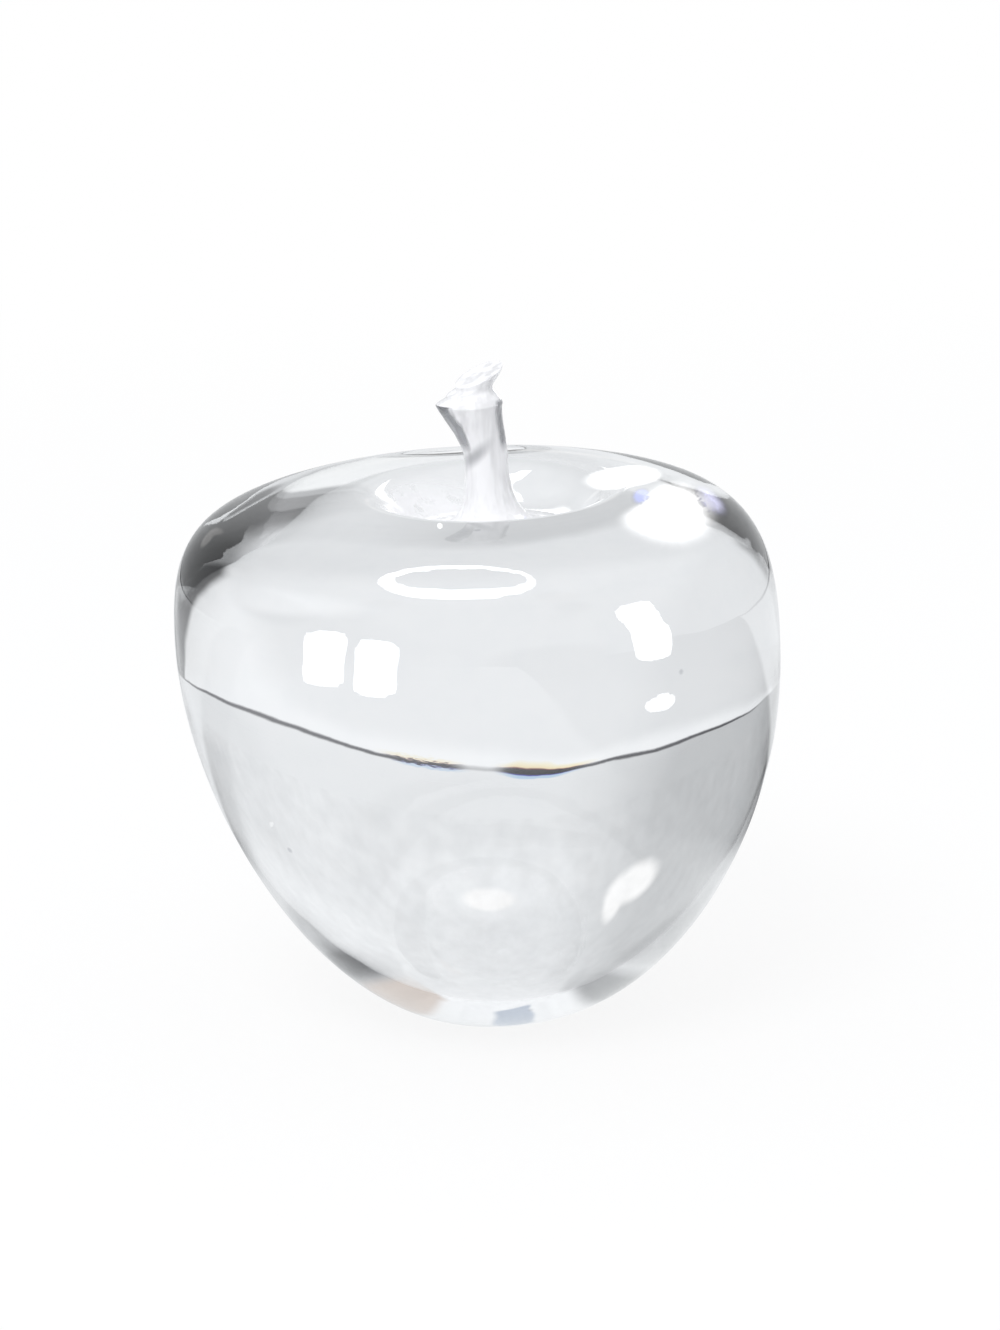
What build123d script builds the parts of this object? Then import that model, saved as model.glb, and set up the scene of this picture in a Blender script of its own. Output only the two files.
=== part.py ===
from build123d import *
import os
from math import radians, sqrt, tan

# Clear glass apple, a solid hand-worked paperweight with an applied stem.
# Lengths are millimetres. +Z is up, +X is to the right seen from the front.
# The origin lies in the plane of the foot, under the middle of the belly.

# Body, from the ground up
foot_radius = 12.0
foot_offset = 1.2
foot_spread_angle = 20.0
foot_spread = 16.0
belly_radius = 40.0
belly_height = 49.8
belly_tilt_angle = 3.4
belly_fall = 20.8
belly_rise = 14.3
shoulder_reach = 19.4
shoulder_offset = 0.5
crest_height = 70.8
crest_radius = 18.2
crest_offset = 2.7
crest_lean_angle = 1.6

# Dimple in the crown, from the crest in to the seat of the stem
dimple_depth = 5.2
dimple_inner_roll = 5.0
dimple_floor_run = 4.0

# Polished hollow that was ground into the foot where the iron broke off
hollow_radius = 8.6
hollow_depth = 1.3
hollow_bevel = 0.35

# Stem, a hot bit of glass pressed into the dimple, drawn up and sheared off.
# Each lift is measured from the seat, the waist, the collar or the neck below it,
# and each shift from the middle of the crest.
root_radius = 8.5
root_spread = 4.9
root_sweep = 4.6
waist_lift = 9.0
waist_radius = 2.95
waist_shift = -0.6
waist_rise = 2.6
collar_lift = 7.4
collar_radius = 4.45
collar_shift = -2.5
collar_flare = 0.5
collar_reach = 1.5
collar_roll_share = 0.3
neck_lift = 1.7
neck_radius = 3.15
neck_shift = -2.45
neck_run = 0.45
neck_tilt_angle = 10.0
lip_lift = 1.9
lip_radius = 3.2
lip_shift = -1.1
lip_flare = 0.25
lip_reach = 0.8
lip_roll_share = 0.5
lip_edge = 0.6
shear_angle = 21.0
shear_lean_angle = 11.0

# Depth that a cutting tool runs out past the face it cuts
overrun = 2.0

QUARTER_WEIGHT = sqrt(0.5)
QUARTERS = [((1, 0), (0, 1)), ((0, 1), (-1, 0)), ((-1, 0), (0, -1)), ((0, -1), (1, 0))]


def ring(centre, radius, height, slope_x=0.0, slope_y=0.0):
    """A control ring: a circle about an upright line, tipped by its slopes towards +X and +Y."""
    return centre, radius, height, slope_x, slope_y


def ring_point(control_ring, direction):
    """The point of a control ring in one direction of the ground plane."""
    centre, radius, height, slope_x, slope_y = control_ring
    out_x = radius * direction[0]
    out_y = radius * direction[1]
    return Vector(centre + out_x, out_y, height + slope_x * out_x + slope_y * out_y)


def quarter_points(control_ring, quarter):
    """The three control points of a ring's quarter arc: its ends and the corner between them."""
    start, end = quarter
    corner = (start[0] + end[0], start[1] + end[1])
    return [ring_point(control_ring, direction) for direction in (start, corner, end)]


def quarter_patch(four_rings, quarter):
    """One smooth patch, a quarter turn wide, drawn by four control rings."""
    rows = [quarter_points(control_ring, quarter) for control_ring in four_rings]
    weights = [[1, QUARTER_WEIGHT, 1] for _ in four_rings]
    return Face.make_bezier_surface(rows, weights)


def ring_disc(control_ring):
    """The flat disc that closes a blown form at one of its rings."""
    arcs = [
        Edge.make_bezier(*quarter_points(control_ring, quarter), weights=[1, QUARTER_WEIGHT, 1])
        for quarter in QUARTERS
    ]
    return Face(Wire(arcs))


def hand_worked_solid(bands):
    """A closed solid from bands of four control rings each, from its lower disc to its upper one."""
    skin = [quarter_patch(band, quarter) for band in bands for quarter in QUARTERS]
    lower_disc = ring_disc(bands[0][0])
    upper_disc = ring_disc(bands[-1][-1])
    return Solid(Shell(skin + [lower_disc, upper_disc]))


# Rings that the body and the stem share
belly_slope = -tan(radians(belly_tilt_angle))
seat_height = crest_height - dimple_depth
seat_ring = ring(crest_offset, root_radius, seat_height)


def apple_body():
    """Solid body: foot to belly, belly to crest, crest down into the dimple."""
    foot_ring = ring(foot_offset, foot_radius, 0.0)
    spread_run = foot_spread * Vector(1, 0).rotate(Axis.Z, foot_spread_angle)
    spread_ring = ring(foot_offset, foot_radius + spread_run.X, spread_run.Y)
    under_belly_ring = ring(0.0, belly_radius, belly_height - belly_fall, belly_slope)
    belly_ring = ring(0.0, belly_radius, belly_height, belly_slope)
    over_belly_ring = ring(0.0, belly_radius, belly_height + belly_rise, belly_slope)

    # The crest leans towards the front, and the rings beside it lie in its plane
    crest_place = (crest_height, 0.0, tan(radians(crest_lean_angle)))
    shoulder_ring = ring(shoulder_offset, crest_radius + shoulder_reach, *crest_place)
    crest_ring = ring(crest_offset, crest_radius, *crest_place)
    inner_crest_ring = ring(crest_offset, crest_radius - dimple_inner_roll, *crest_place)
    floor_ring = ring(crest_offset, root_radius + dimple_floor_run, seat_height)
    return hand_worked_solid([
        (foot_ring, spread_ring, under_belly_ring, belly_ring),
        (belly_ring, over_belly_ring, shoulder_ring, crest_ring),
        (crest_ring, inner_crest_ring, floor_ring, seat_ring),
    ])


def foot_hollow():
    """Cutter for the hollow in the foot: a shallow bowl with a bevelled edge."""
    edge_radius = hollow_radius + hollow_bevel
    with BuildPart() as cutter:
        with BuildSketch(Plane.XZ):
            with BuildLine():
                bowl = TangentArc(
                    (0.0, hollow_depth), (hollow_radius, hollow_bevel), tangent=(1, 0)
                )
                Polyline(
                    bowl @ 1,
                    (edge_radius, 0.0),
                    (edge_radius, -overrun),
                    (0.0, -overrun),
                    bowl @ 0,
                )
            make_face()
        revolve(axis=Axis.Z)
    return Pos(foot_offset, 0.0, 0.0) * cutter.part


def stem():
    """Stem: flared root, waist, widening shaft, round collar, neck, lip and slanted sheared face."""
    slopes = (tan(radians(shear_angle)), tan(radians(shear_lean_angle)))
    waist_height = seat_height + waist_lift
    collar_height = waist_height + collar_lift
    neck_height = collar_height + neck_lift
    lip_height = neck_height + lip_lift
    waist_centre = crest_offset + waist_shift
    collar_centre = crest_offset + collar_shift
    neck_centre = crest_offset + neck_shift
    lip_centre = crest_offset + lip_shift
    root_inner_ring = ring(crest_offset, root_radius - root_spread, seat_height)
    under_waist_ring = ring(waist_centre, waist_radius, waist_height - root_sweep)
    waist_ring = ring(waist_centre, waist_radius, waist_height)
    over_waist_ring = ring(waist_centre, waist_radius, waist_height + waist_rise)

    # Above and below the collar the skin runs along one slanted line, so its ridge is round
    under_collar_ring = ring(
        collar_centre, collar_radius - collar_flare, collar_height - collar_reach
    )
    collar_ring = ring(collar_centre, collar_radius, collar_height)
    over_collar_ring = ring(
        collar_centre,
        collar_radius + collar_roll_share * collar_flare,
        collar_height + collar_roll_share * collar_reach,
    )

    # The neck is the pinch of the shears, and its skin stands upright
    neck_slope = tan(radians(neck_tilt_angle))
    under_neck_ring = ring(neck_centre, neck_radius, neck_height - neck_run, neck_slope)
    neck_ring = ring(neck_centre, neck_radius, neck_height, neck_slope)
    over_neck_ring = ring(neck_centre, neck_radius, neck_height + neck_run, neck_slope)

    # The lip rolls over into the sheared face, and all its rings are tipped like the face
    under_lip_ring = ring(lip_centre, lip_radius - lip_flare, lip_height - lip_reach, *slopes)
    lip_ring = ring(lip_centre, lip_radius, lip_height, *slopes)
    over_lip_ring = ring(
        lip_centre,
        lip_radius + lip_roll_share * lip_flare,
        lip_height + lip_roll_share * lip_reach,
        *slopes,
    )
    face_height = lip_height + lip_roll_share * lip_reach
    face_edge_ring = ring(lip_centre, lip_radius, face_height, *slopes)
    face_ring = ring(lip_centre, lip_radius - lip_edge, face_height, *slopes)
    return hand_worked_solid([
        (seat_ring, root_inner_ring, under_waist_ring, waist_ring),
        (waist_ring, over_waist_ring, under_collar_ring, collar_ring),
        (collar_ring, over_collar_ring, under_neck_ring, neck_ring),
        (neck_ring, over_neck_ring, under_lip_ring, lip_ring),
        (lip_ring, over_lip_ring, face_edge_ring, face_ring),
    ])


pieces = {
    "apple_body": apple_body() - foot_hollow(),
    "stem": stem(),
}

os.makedirs("parts", exist_ok=True)
for name, piece in pieces.items():
    export_step(piece, f"parts/{name}.step")
    print(name, "volume", round(piece.volume), "mm3, valid", piece.is_valid)
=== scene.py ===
import math

import bpy
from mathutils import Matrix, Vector


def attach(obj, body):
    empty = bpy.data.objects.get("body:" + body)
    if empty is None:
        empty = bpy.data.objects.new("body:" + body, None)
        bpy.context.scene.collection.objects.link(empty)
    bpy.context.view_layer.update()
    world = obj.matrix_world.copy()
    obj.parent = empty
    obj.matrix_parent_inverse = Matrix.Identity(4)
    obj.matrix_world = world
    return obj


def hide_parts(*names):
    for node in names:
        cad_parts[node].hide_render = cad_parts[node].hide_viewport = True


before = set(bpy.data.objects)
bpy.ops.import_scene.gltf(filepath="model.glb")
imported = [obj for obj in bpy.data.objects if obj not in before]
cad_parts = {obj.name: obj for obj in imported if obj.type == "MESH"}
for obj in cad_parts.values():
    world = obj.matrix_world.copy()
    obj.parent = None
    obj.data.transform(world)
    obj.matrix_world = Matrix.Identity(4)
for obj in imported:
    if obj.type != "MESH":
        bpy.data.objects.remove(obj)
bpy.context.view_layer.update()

# Clear glass apple: a solid hand-worked body with an applied stem.
# Lengths are metres. +Z is up, +X is to the right seen from the front.

bl_info = {
    "name": "Clear Glass Apple",
    "version": (1, 0, 0),
    "blender": (4, 5, 0),
    "location": "3D View > Sidebar > Glass Apple",
    "description": "Solid clear glass apple paperweight with an applied stem, and its plain pale stage",
    "category": "Object",
}

MM = 0.001


def length(label, millimetres, description):
    """A length that the user can change, given in millimetres."""
    return bpy.props.FloatProperty(
        name=label, description=description, default=millimetres * MM,
        unit="LENGTH", subtype="DISTANCE", precision=5)


def turn(label, degrees, description):
    """An angle that the user can change, given in degrees."""
    return bpy.props.FloatProperty(
        name=label, description=description, default=math.radians(degrees),
        unit="ROTATION", subtype="ANGLE")


def colour(label, value, description):
    """A colour that the user can change."""
    return bpy.props.FloatVectorProperty(
        name=label, description=description, default=value, size=3, min=0.0, max=1.0,
        subtype="COLOR")


class BodySizes(bpy.types.PropertyGroup):
    """Sizes of the body, from the ground up."""
    foot_radius: length("Foot radius", 12.0, "Outer radius of the ground foot")
    foot_offset: length("Foot offset", 1.2, "How far the foot sits to the right of the belly")
    foot_spread_angle: turn("Foot spread angle", 20.0, "Slope of the skin where it leaves the foot")
    foot_spread: length("Foot spread", 16.0, "How far the skin follows that slope")
    belly_radius: length("Belly radius", 40.0, "Largest radius of the apple")
    belly_height: length("Belly height", 49.8, "Height of the largest radius")
    belly_tilt: turn("Belly tilt", 3.4, "How far the belly leans, its left side higher")
    belly_fall: length("Belly fall", 20.8, "How far the belly's upright run reaches down")
    belly_rise: length("Belly rise", 14.3, "How far the belly's upright run reaches up")
    shoulder_reach: length("Shoulder reach", 19.4, "How far the rim's flat run reaches out")
    shoulder_offset: length("Shoulder offset", 0.5, "How far that run sits to the right of the belly")
    crest_height: length("Crest height", 70.8, "Height of the rim round the dimple")
    crest_radius: length("Crest radius", 18.2, "Radius of the rim round the dimple")
    crest_offset: length("Crest offset", 2.7, "How far the rim sits to the right of the belly")
    crest_lean: turn("Crest lean", 1.6, "How far the rim leans to the front")
    dimple_depth: length("Dimple depth", 5.2, "Depth of the dimple under the rim")
    dimple_roll: length("Dimple roll", 5.0, "How far the rim's flat run reaches in")
    dimple_floor: length("Dimple floor", 4.0, "Level run round the root of the stem")
    hollow_radius: length("Hollow radius", 8.6, "Radius of the polished hollow in the foot")
    hollow_depth: length("Hollow depth", 1.3, "Depth of the polished hollow in the foot")
    hollow_bevel: length("Hollow bevel", 0.35, "Bevel between the hollow and the foot")


class StemSizes(bpy.types.PropertyGroup):
    """Sizes of the stem, from its root up. Shifts are measured from the middle of the rim."""
    root_radius: length("Root radius", 8.5, "Radius of the root, pressed out in the dimple")
    root_spread: length("Root spread", 4.9, "How far the root's level run reaches in")
    root_sweep: length("Root sweep", 4.6, "How far the waist's upright run reaches down")
    waist_lift: length("Waist lift", 9.0, "How far the thinnest place is above the root")
    waist_radius: length("Waist radius", 2.95, "Radius of the thinnest place")
    waist_shift: length("Waist shift", -0.6, "How far the waist stands to the right")
    waist_rise: length("Waist rise", 2.6, "How far the waist's upright run reaches up")
    collar_lift: length("Collar lift", 7.4, "How far the round collar is above the waist")
    collar_radius: length("Collar radius", 4.45, "Radius of the round collar")
    collar_shift: length("Collar shift", -2.5, "How far the collar stands to the right")
    collar_flare: length("Collar flare", 0.5, "How far the skin under the collar draws in")
    collar_reach: length("Collar reach", 1.5, "How far that skin reaches down")
    neck_lift: length("Neck lift", 1.7, "How far the pinched neck is above the collar")
    neck_radius: length("Neck radius", 3.15, "Radius of the neck")
    neck_shift: length("Neck shift", -2.45, "How far the neck stands to the right")
    neck_run: length("Neck run", 0.45, "Half the length of the neck's upright run")
    neck_tilt: turn("Neck tilt", 10.0, "Slope of the neck to the right")
    lip_lift: length("Lip lift", 1.9, "How far the middle of the lip is above the neck")
    lip_radius: length("Lip radius", 3.2, "Radius of the lip")
    lip_shift: length("Lip shift", -1.1, "How far the lip stands to the right")
    lip_flare: length("Lip flare", 0.25, "How far the skin under the lip draws in")
    lip_reach: length("Lip reach", 0.8, "How far that skin reaches down")
    lip_edge: length("Lip edge", 0.6, "Width of the lip's roll over into the cut face")
    shear: turn("Shear angle", 21.0, "Slope of the cut face to the right")
    shear_lean: turn("Shear lean", 11.0, "Slope of the cut face to the back")


class GlassFinish(bpy.types.PropertyGroup):
    """Colours and finish of the glass."""
    tint: colour("Tint", (0.994, 0.997, 1.0), "Colour of the clear glass")
    cord_tint: colour("Cord tint", (0.955, 0.965, 0.975), "Colour of the faint cords in the glass")
    froth_tint: colour("Froth tint", (0.99, 0.99, 1.0), "Colour of the milky froth of fine bubbles")
    ground_tint: colour("Ground tint", (0.9, 0.91, 0.92), "Colour of the ground foot")
    # One dark colour for the seeds in the body, and for the painted shade on the stem's sides and waist
    seed_and_painted_shade_tint: colour("Seed and painted shade tint", (0.56, 0.57, 0.6), "Colour of the seeds, and of the painted shade on the stem")
    froth_shift: length("Froth shift", -4.0, "How far the froth sits to the right of the rim's middle")
    froth_reach: length("Froth reach", 14.0, "How far the froth reaches from its middle")
    froth_relief: length("Froth relief", 0.05, "Height of the lumps in the froth")
    ripple: length("Ripple", 0.004, "Height of the fine ripple all over the skin")
    body_wave: length("Body wave", 0.08, "Depth of the slow waves that hand work leaves in the body")
    stem_wave: length("Stem wave", 0.18, "Depth of the waves that drawing and pinching leave in the stem")


COLLAR_ROLL_SHARE = 0.3
LIP_ROLL_SHARE = 0.5
# How many points a ring has, and how many rings draw each part, from below up
BODY_SIDES = 256
STEM_SIDES = 128
BOWL_STEPS = 24
FOOT_STEPS = 4
BODY_STEPS = (64, 52, 40)
STEM_STEPS = (50, 40, 24, 24, 16)
# What counts as level, as a slope and as a rise
LEVEL_SLOPE = 1e-6
LEVEL_RISE = 1e-9
# Size of the slow waves, and how they fade out towards the foot, the dimple and the joint
BODY_WAVE_REACH = 0.011
STEM_WAVE_REACH = 0.0035
FOOT_PLAIN = 0.0005
FOOT_FADE = 0.006
DIMPLE_FADE = 0.022
JOINT_FADE = 0.005


def ring(centre, radius, height, slope_x=0.0, slope_y=0.0):
    """A control ring: centre, radius, height, and its rise on the right and at the back."""
    return centre, radius, height, slope_x * radius, slope_y * radius


def rings_along(band, count):
    """The rings of a smooth band that four control rings draw, from its second ring on."""
    for step in range(1, count + 1):
        t = step / count
        shares = ((1 - t) ** 3, 3 * t * (1 - t) ** 2, 3 * t * t * (1 - t), t ** 3)
        yield tuple(sum(share * row[i] for share, row in zip(shares, band)) for i in range(5))


def body_bands(size):
    """Bands of the body: foot to belly, belly to rim, rim down to the stem's root."""
    tilt = -math.tan(size.belly_tilt)
    seat_height = size.crest_height - size.dimple_depth
    spread_out = size.foot_spread * math.cos(size.foot_spread_angle)
    spread_up = size.foot_spread * math.sin(size.foot_spread_angle)
    belly = ring(0.0, size.belly_radius, size.belly_height, tilt)
    rim_place = (size.crest_height, 0.0, math.tan(size.crest_lean))
    crest = ring(size.crest_offset, size.crest_radius, *rim_place)
    return [
        (ring(size.foot_offset, size.foot_radius, 0.0),
         ring(size.foot_offset, size.foot_radius + spread_out, spread_up),
         ring(0.0, size.belly_radius, size.belly_height - size.belly_fall, tilt), belly),
        (belly, ring(0.0, size.belly_radius, size.belly_height + size.belly_rise, tilt),
         ring(size.shoulder_offset, size.crest_radius + size.shoulder_reach, *rim_place), crest),
        (crest, ring(size.crest_offset, size.crest_radius - size.dimple_roll, *rim_place),
         ring(size.crest_offset, stem_root() + size.dimple_floor, seat_height),
         ring(size.crest_offset, stem_root(), seat_height)),
    ]


def stem_root():
    """Radius of the stem's root, which the dimple's floor meets."""
    return bpy.context.scene.glass_apple_stem.root_radius


def stem_bands(size, body):
    """Bands of the stem: root, waist, collar, neck and lip, then into the cut face."""
    slopes = (math.tan(size.shear), math.tan(size.shear_lean))
    seat_height = body.crest_height - body.dimple_depth
    waist_height = seat_height + size.waist_lift
    collar_height = waist_height + size.collar_lift
    neck_height = collar_height + size.neck_lift
    lip_height = neck_height + size.lip_lift
    centre = body.crest_offset
    waist_centre = centre + size.waist_shift
    collar_centre = centre + size.collar_shift
    neck_centre = centre + size.neck_shift
    neck_slope = math.tan(size.neck_tilt)
    lip_centre = centre + size.lip_shift
    face_height = lip_height + LIP_ROLL_SHARE * size.lip_reach
    waist = ring(waist_centre, size.waist_radius, waist_height)
    collar = ring(collar_centre, size.collar_radius, collar_height)
    under_neck, neck, over_neck = [
        ring(neck_centre, size.neck_radius, neck_height + run, neck_slope)
        for run in (-size.neck_run, 0.0, size.neck_run)]
    lip = ring(lip_centre, size.lip_radius, lip_height, *slopes)
    return [
        (ring(centre, size.root_radius, seat_height),
         ring(centre, size.root_radius - size.root_spread, seat_height),
         ring(waist_centre, size.waist_radius, waist_height - size.root_sweep), waist),
        (waist, ring(waist_centre, size.waist_radius, waist_height + size.waist_rise),
         ring(collar_centre, size.collar_radius - size.collar_flare,
              collar_height - size.collar_reach), collar),
        (collar,
         ring(collar_centre, size.collar_radius + COLLAR_ROLL_SHARE * size.collar_flare,
              collar_height + COLLAR_ROLL_SHARE * size.collar_reach), under_neck, neck),
        (neck, over_neck,
         ring(lip_centre, size.lip_radius - size.lip_flare,
              lip_height - size.lip_reach, *slopes), lip),
        (lip,
         ring(lip_centre, size.lip_radius + LIP_ROLL_SHARE * size.lip_flare, face_height, *slopes),
         ring(lip_centre, size.lip_radius, face_height, *slopes),
         ring(lip_centre, size.lip_radius - size.lip_edge, face_height, *slopes)),
    ]


def start_disc(name, sides, first):
    """A new object in edit mode: a disc of triangles, with its edge selected."""
    bpy.ops.object.select_all(action="DESELECT")
    bpy.ops.mesh.primitive_circle_add(vertices=sides, radius=first[1], fill_type="TRIFAN")
    obj = bpy.context.object
    obj.name = name
    bpy.ops.object.mode_set(mode="EDIT")
    bpy.ops.mesh.select_mode(type="VERT")
    bpy.ops.mesh.select_all(action="SELECT")
    bpy.ops.transform.translate(value=(first[0], 0.0, first[2]))
    bpy.ops.mesh.region_to_loop()
    return obj


def tip_ring(centre, rise_x, rise_y, radius):
    """Tips the selected level ring, so that it rises by so much on its right and at its back."""
    steepest = math.hypot(rise_x, rise_y) / radius
    if steepest < LEVEL_SLOPE:
        return
    lean = math.atan(steepest)
    heading = math.atan2(rise_y, rise_x)
    if abs(rise_y) < LEVEL_RISE:
        lean, heading = math.copysign(lean, rise_x), 0.0
    stretch = 1.0 / math.cos(lean)
    if heading:
        bpy.ops.transform.rotate(value=heading, orient_axis="Z", center_override=centre)
    bpy.ops.transform.rotate(value=lean, orient_axis="Y", center_override=centre)
    bpy.ops.transform.resize(value=(stretch, 1.0, stretch), center_override=centre)
    if heading:
        bpy.ops.transform.rotate(value=-heading, orient_axis="Z", center_override=centre)


def next_ring(last, new):
    """Extrudes the selected ring to the next one."""
    move = (new[0] - last[0], 0.0, new[2] - last[2])
    centre = (new[0], 0.0, new[2])
    grow = new[1] / last[1]
    bpy.ops.mesh.extrude_region_move(TRANSFORM_OT_translate={"value": move})
    bpy.ops.transform.resize(value=(grow, grow, 0.0), center_override=centre)
    tip_ring(centre, new[3], new[4], new[1])


def extrude_rings(last, rings):
    """Extrudes the selected ring through all of these and gives the last one back."""
    for new in rings:
        next_ring(last, new)
        last = new
    return last


def build_body():
    """The body's mesh, from the middle of the hollow in its foot to the root of the stem."""
    size = bpy.context.scene.glass_apple_body
    centre = size.foot_offset
    bowl_drop = size.hollow_depth - size.hollow_bevel
    bowl_radius = (size.hollow_radius ** 2 + bowl_drop ** 2) / (2.0 * bowl_drop)

    def bowl_ring(step):
        radius = size.hollow_radius * step / BOWL_STEPS
        drop = bowl_radius - math.sqrt(bowl_radius ** 2 - radius ** 2)
        return ring(centre, radius, size.hollow_depth - drop)

    first = bowl_ring(1)
    obj = start_disc("apple_body_glass", BODY_SIDES, first)
    foot = [bowl_ring(step) for step in range(2, BOWL_STEPS + 1)]
    edge_radius = size.hollow_radius + size.hollow_bevel
    foot += [ring(centre, edge_radius + (size.foot_radius - edge_radius) * step / FOOT_STEPS, 0.0)
             for step in range(FOOT_STEPS + 1)]
    last = extrude_rings(first, foot)
    for band, count in zip(body_bands(size), BODY_STEPS):
        last = extrude_rings(last, rings_along(band, count))
    return obj


def build_stem():
    """The stem's mesh, from the joint with the body to the cut face."""
    size = bpy.context.scene.glass_apple_stem
    bands = stem_bands(size, bpy.context.scene.glass_apple_body)
    last = bands[0][0]
    obj = start_disc("stem_glass", STEM_SIDES, last)
    for band, count in zip(bands, STEM_STEPS):
        last = extrude_rings(last, rings_along(band, count))
    return obj


def close_mesh(joint_slot):
    """Closes the open ring and turns all faces outwards."""
    bpy.ops.mesh.edge_face_add()
    if joint_slot:
        bpy.context.object.active_material_index = 1
        bpy.ops.object.material_slot_assign()
    bpy.ops.mesh.select_all(action="SELECT")
    bpy.ops.mesh.normals_make_consistent(inside=False)
    bpy.ops.mesh.select_all(action="DESELECT")
    bpy.ops.object.mode_set(mode="OBJECT")
    bpy.ops.object.shade_smooth_by_angle(angle=math.radians(30.0))


def hand_waves(obj, depth, reach, share_at):
    """Presses slow waves into a skin, of so much depth and reach, where a share allows it."""
    group = obj.vertex_groups.new(name="worked")
    for vertex in obj.data.vertices:
        share = share_at(vertex.co)
        if share > 0.0:
            group.add([vertex.index], min(share, 1.0), "REPLACE")
    texture = bpy.data.textures.new("hand_waves", "CLOUDS")
    texture.noise_scale = reach
    bpy.ops.object.modifier_add(type="DISPLACE")
    press = obj.modifiers[-1]
    press.texture = texture
    press.texture_coords = "LOCAL"
    press.vertex_group = group.name
    press.mid_level = 1.0
    press.strength = depth
    bpy.ops.object.modifier_apply(modifier=press.name)
    obj.vertex_groups.clear()


def body_share(place):
    """Where the body takes waves: all but its foot and the joint with the stem."""
    size = bpy.context.scene.glass_apple_body
    off_middle = math.hypot(place.x - size.crest_offset, place.y)
    return min((place.z - FOOT_PLAIN) / FOOT_FADE, (off_middle - stem_root()) / DIMPLE_FADE)


def stem_share(place):
    """Where the stem takes waves: all but the joint with the body."""
    size = bpy.context.scene.glass_apple_body
    return (place.z - size.crest_height + size.dimple_depth) / JOINT_FADE


def new_tree(name):
    """A new material with its nodes cleared, and its tree."""
    material = bpy.data.materials.new(name)
    material.use_nodes = True
    material.node_tree.nodes.clear()
    return material, material.node_tree


def node(tree, kind, *values, **settings):
    """A new shader node. Its inputs are given in order, as values or as sockets to link."""
    new = tree.nodes.new("ShaderNode" + kind)
    named = settings.pop("inputs", {})
    for name, value in settings.items():
        setattr(new, name, value)
    for key, value in list(enumerate(values)) + list(named.items()):
        if value is None:
            continue
        if isinstance(value, bpy.types.NodeSocket):
            tree.links.new(value, new.inputs[key])
        else:
            new.inputs[key].default_value = value
    return new


def maths(tree, operation, first, second=None):
    """The result of one Math node."""
    return node(tree, "Math", first, second, operation=operation).outputs[0]


def times(tree, first, *others):
    """The product of some values."""
    for other in others:
        first = maths(tree, "MULTIPLY", first, other)
    return first


def plus(tree, first, second):
    """The sum of two values."""
    return maths(tree, "ADD", first, second)


def minus(tree, first, second):
    """The first value less the second."""
    return maths(tree, "SUBTRACT", first, second)


def larger(tree, first, second):
    """The larger of two values."""
    return maths(tree, "MAXIMUM", first, second)


def distance(tree, first, second):
    """The length of the way that two steps at right angles make."""
    return maths(tree, "SQRT", plus(tree, times(tree, first, first), times(tree, second, second)))


def blend(tree, share, first, second):
    """A colour that goes from the first to the second as the share goes from 0 to 1."""
    mix = node(tree, "Mix", data_type="RGBA")
    for socket, value in ((mix.inputs[0], share), (mix.inputs[6], first), (mix.inputs[7], second)):
        if isinstance(value, bpy.types.NodeSocket):
            tree.links.new(value, socket)
        else:
            socket.default_value = value
    return mix.outputs[2]


def ramp_to(tree, value, low, high):
    """0 at the low value and 1 at the high one, smooth between. Low may be the greater."""
    spread = node(tree, "MapRange", value, low, high, 0.0, 1.0, interpolation_type="SMOOTHSTEP")
    return spread.outputs[0]


def oval(tree, across, up, middle, half, soft, wrap=False):
    """1 inside an oval of the given middle and half sizes, 0 outside it, with a soft edge."""
    away = [minus(tree, value, centre) for value, centre in zip((across, up), middle)]
    if wrap:
        away[0] = node(tree, "Math", away[0], 180.0, -180.0, operation="WRAP").outputs[0]
    shares = [maths(tree, "DIVIDE", value, reach) for value, reach in zip(away, half)]
    return ramp_to(tree, distance(tree, *shares), 1.0 + soft, 1.0 - soft)


def with_spot(tree, under, across, up, spot, wrap=False):
    """A colour with an oval spot on it, given as tone, middle, half sizes and softness."""
    tone, *form = spot
    return blend(tree, oval(tree, across, up, *form, wrap=wrap), under, tone)


def shade(red, green, blue):
    """A colour as it shows on screen, in steps from 0 to 255, as the linear values that shaders use."""
    parts = [level / 255.0 for level in (red, green, blue)]
    return tuple(p / 12.92 if p <= 0.04045 else ((p + 0.055) / 1.055) ** 2.4 for p in parts) + (1.0,)


def grey(level):
    """A grey, a little cool, of a level as it shows on screen."""
    return shade(level - 2.0, level, min(level + 2.0, 255.0))


def opaque(tint):
    """A colour of three values as the four that a shader takes."""
    return tuple(tint) + (1.0,)


def noise(tree, where, scale, detail, stretch=None):
    """Soft noise from 0 to 1, of so many features a metre, drawn out along an axis if wanted."""
    if stretch:
        where = node(tree, "Mapping", where, inputs={"Scale": stretch}).outputs[0]
    return node(tree, "TexNoise", where, inputs={"Scale": scale, "Detail": detail}).outputs[0]


# Patterns in the glass: features a metre and detail, and how some are drawn out
CORDS = (90.0, 3.0)
CORD_STRETCH = (1.0, 1.0, 0.3)
MOTTLE = (330.0, 4.0)
SMUDGES = (45.0, 4.0)
RIPPLES = (260.0, 3.0)
LUMPS = (420.0, 3.0)
STREAKS = (600.0, 2.0)
STREAK_STRETCH = (1.0, 1.0, 0.15)
# Values over which a pattern comes to show
CORD_RANGE = (0.5, 0.75)
MOTTLE_RANGE = (0.42, 0.68)
SMUDGE_RANGE = (0.5, 0.8)
LUMP_RANGE = (0.22, 0.5)
VEIL_RANGE = (0.35, 0.6)
SEED_RANGE = (0.045, 0.02)
# Heights between which the ground foot ends
GROUND_RANGE = (0.00012, 0.00002)
GROUND_ROUGHNESS = 0.45
SMUDGE_ROUGHNESS = 0.02
FROTH_ROUGHNESS = 0.2
MILK_ROUGHNESS = 0.12
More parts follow.
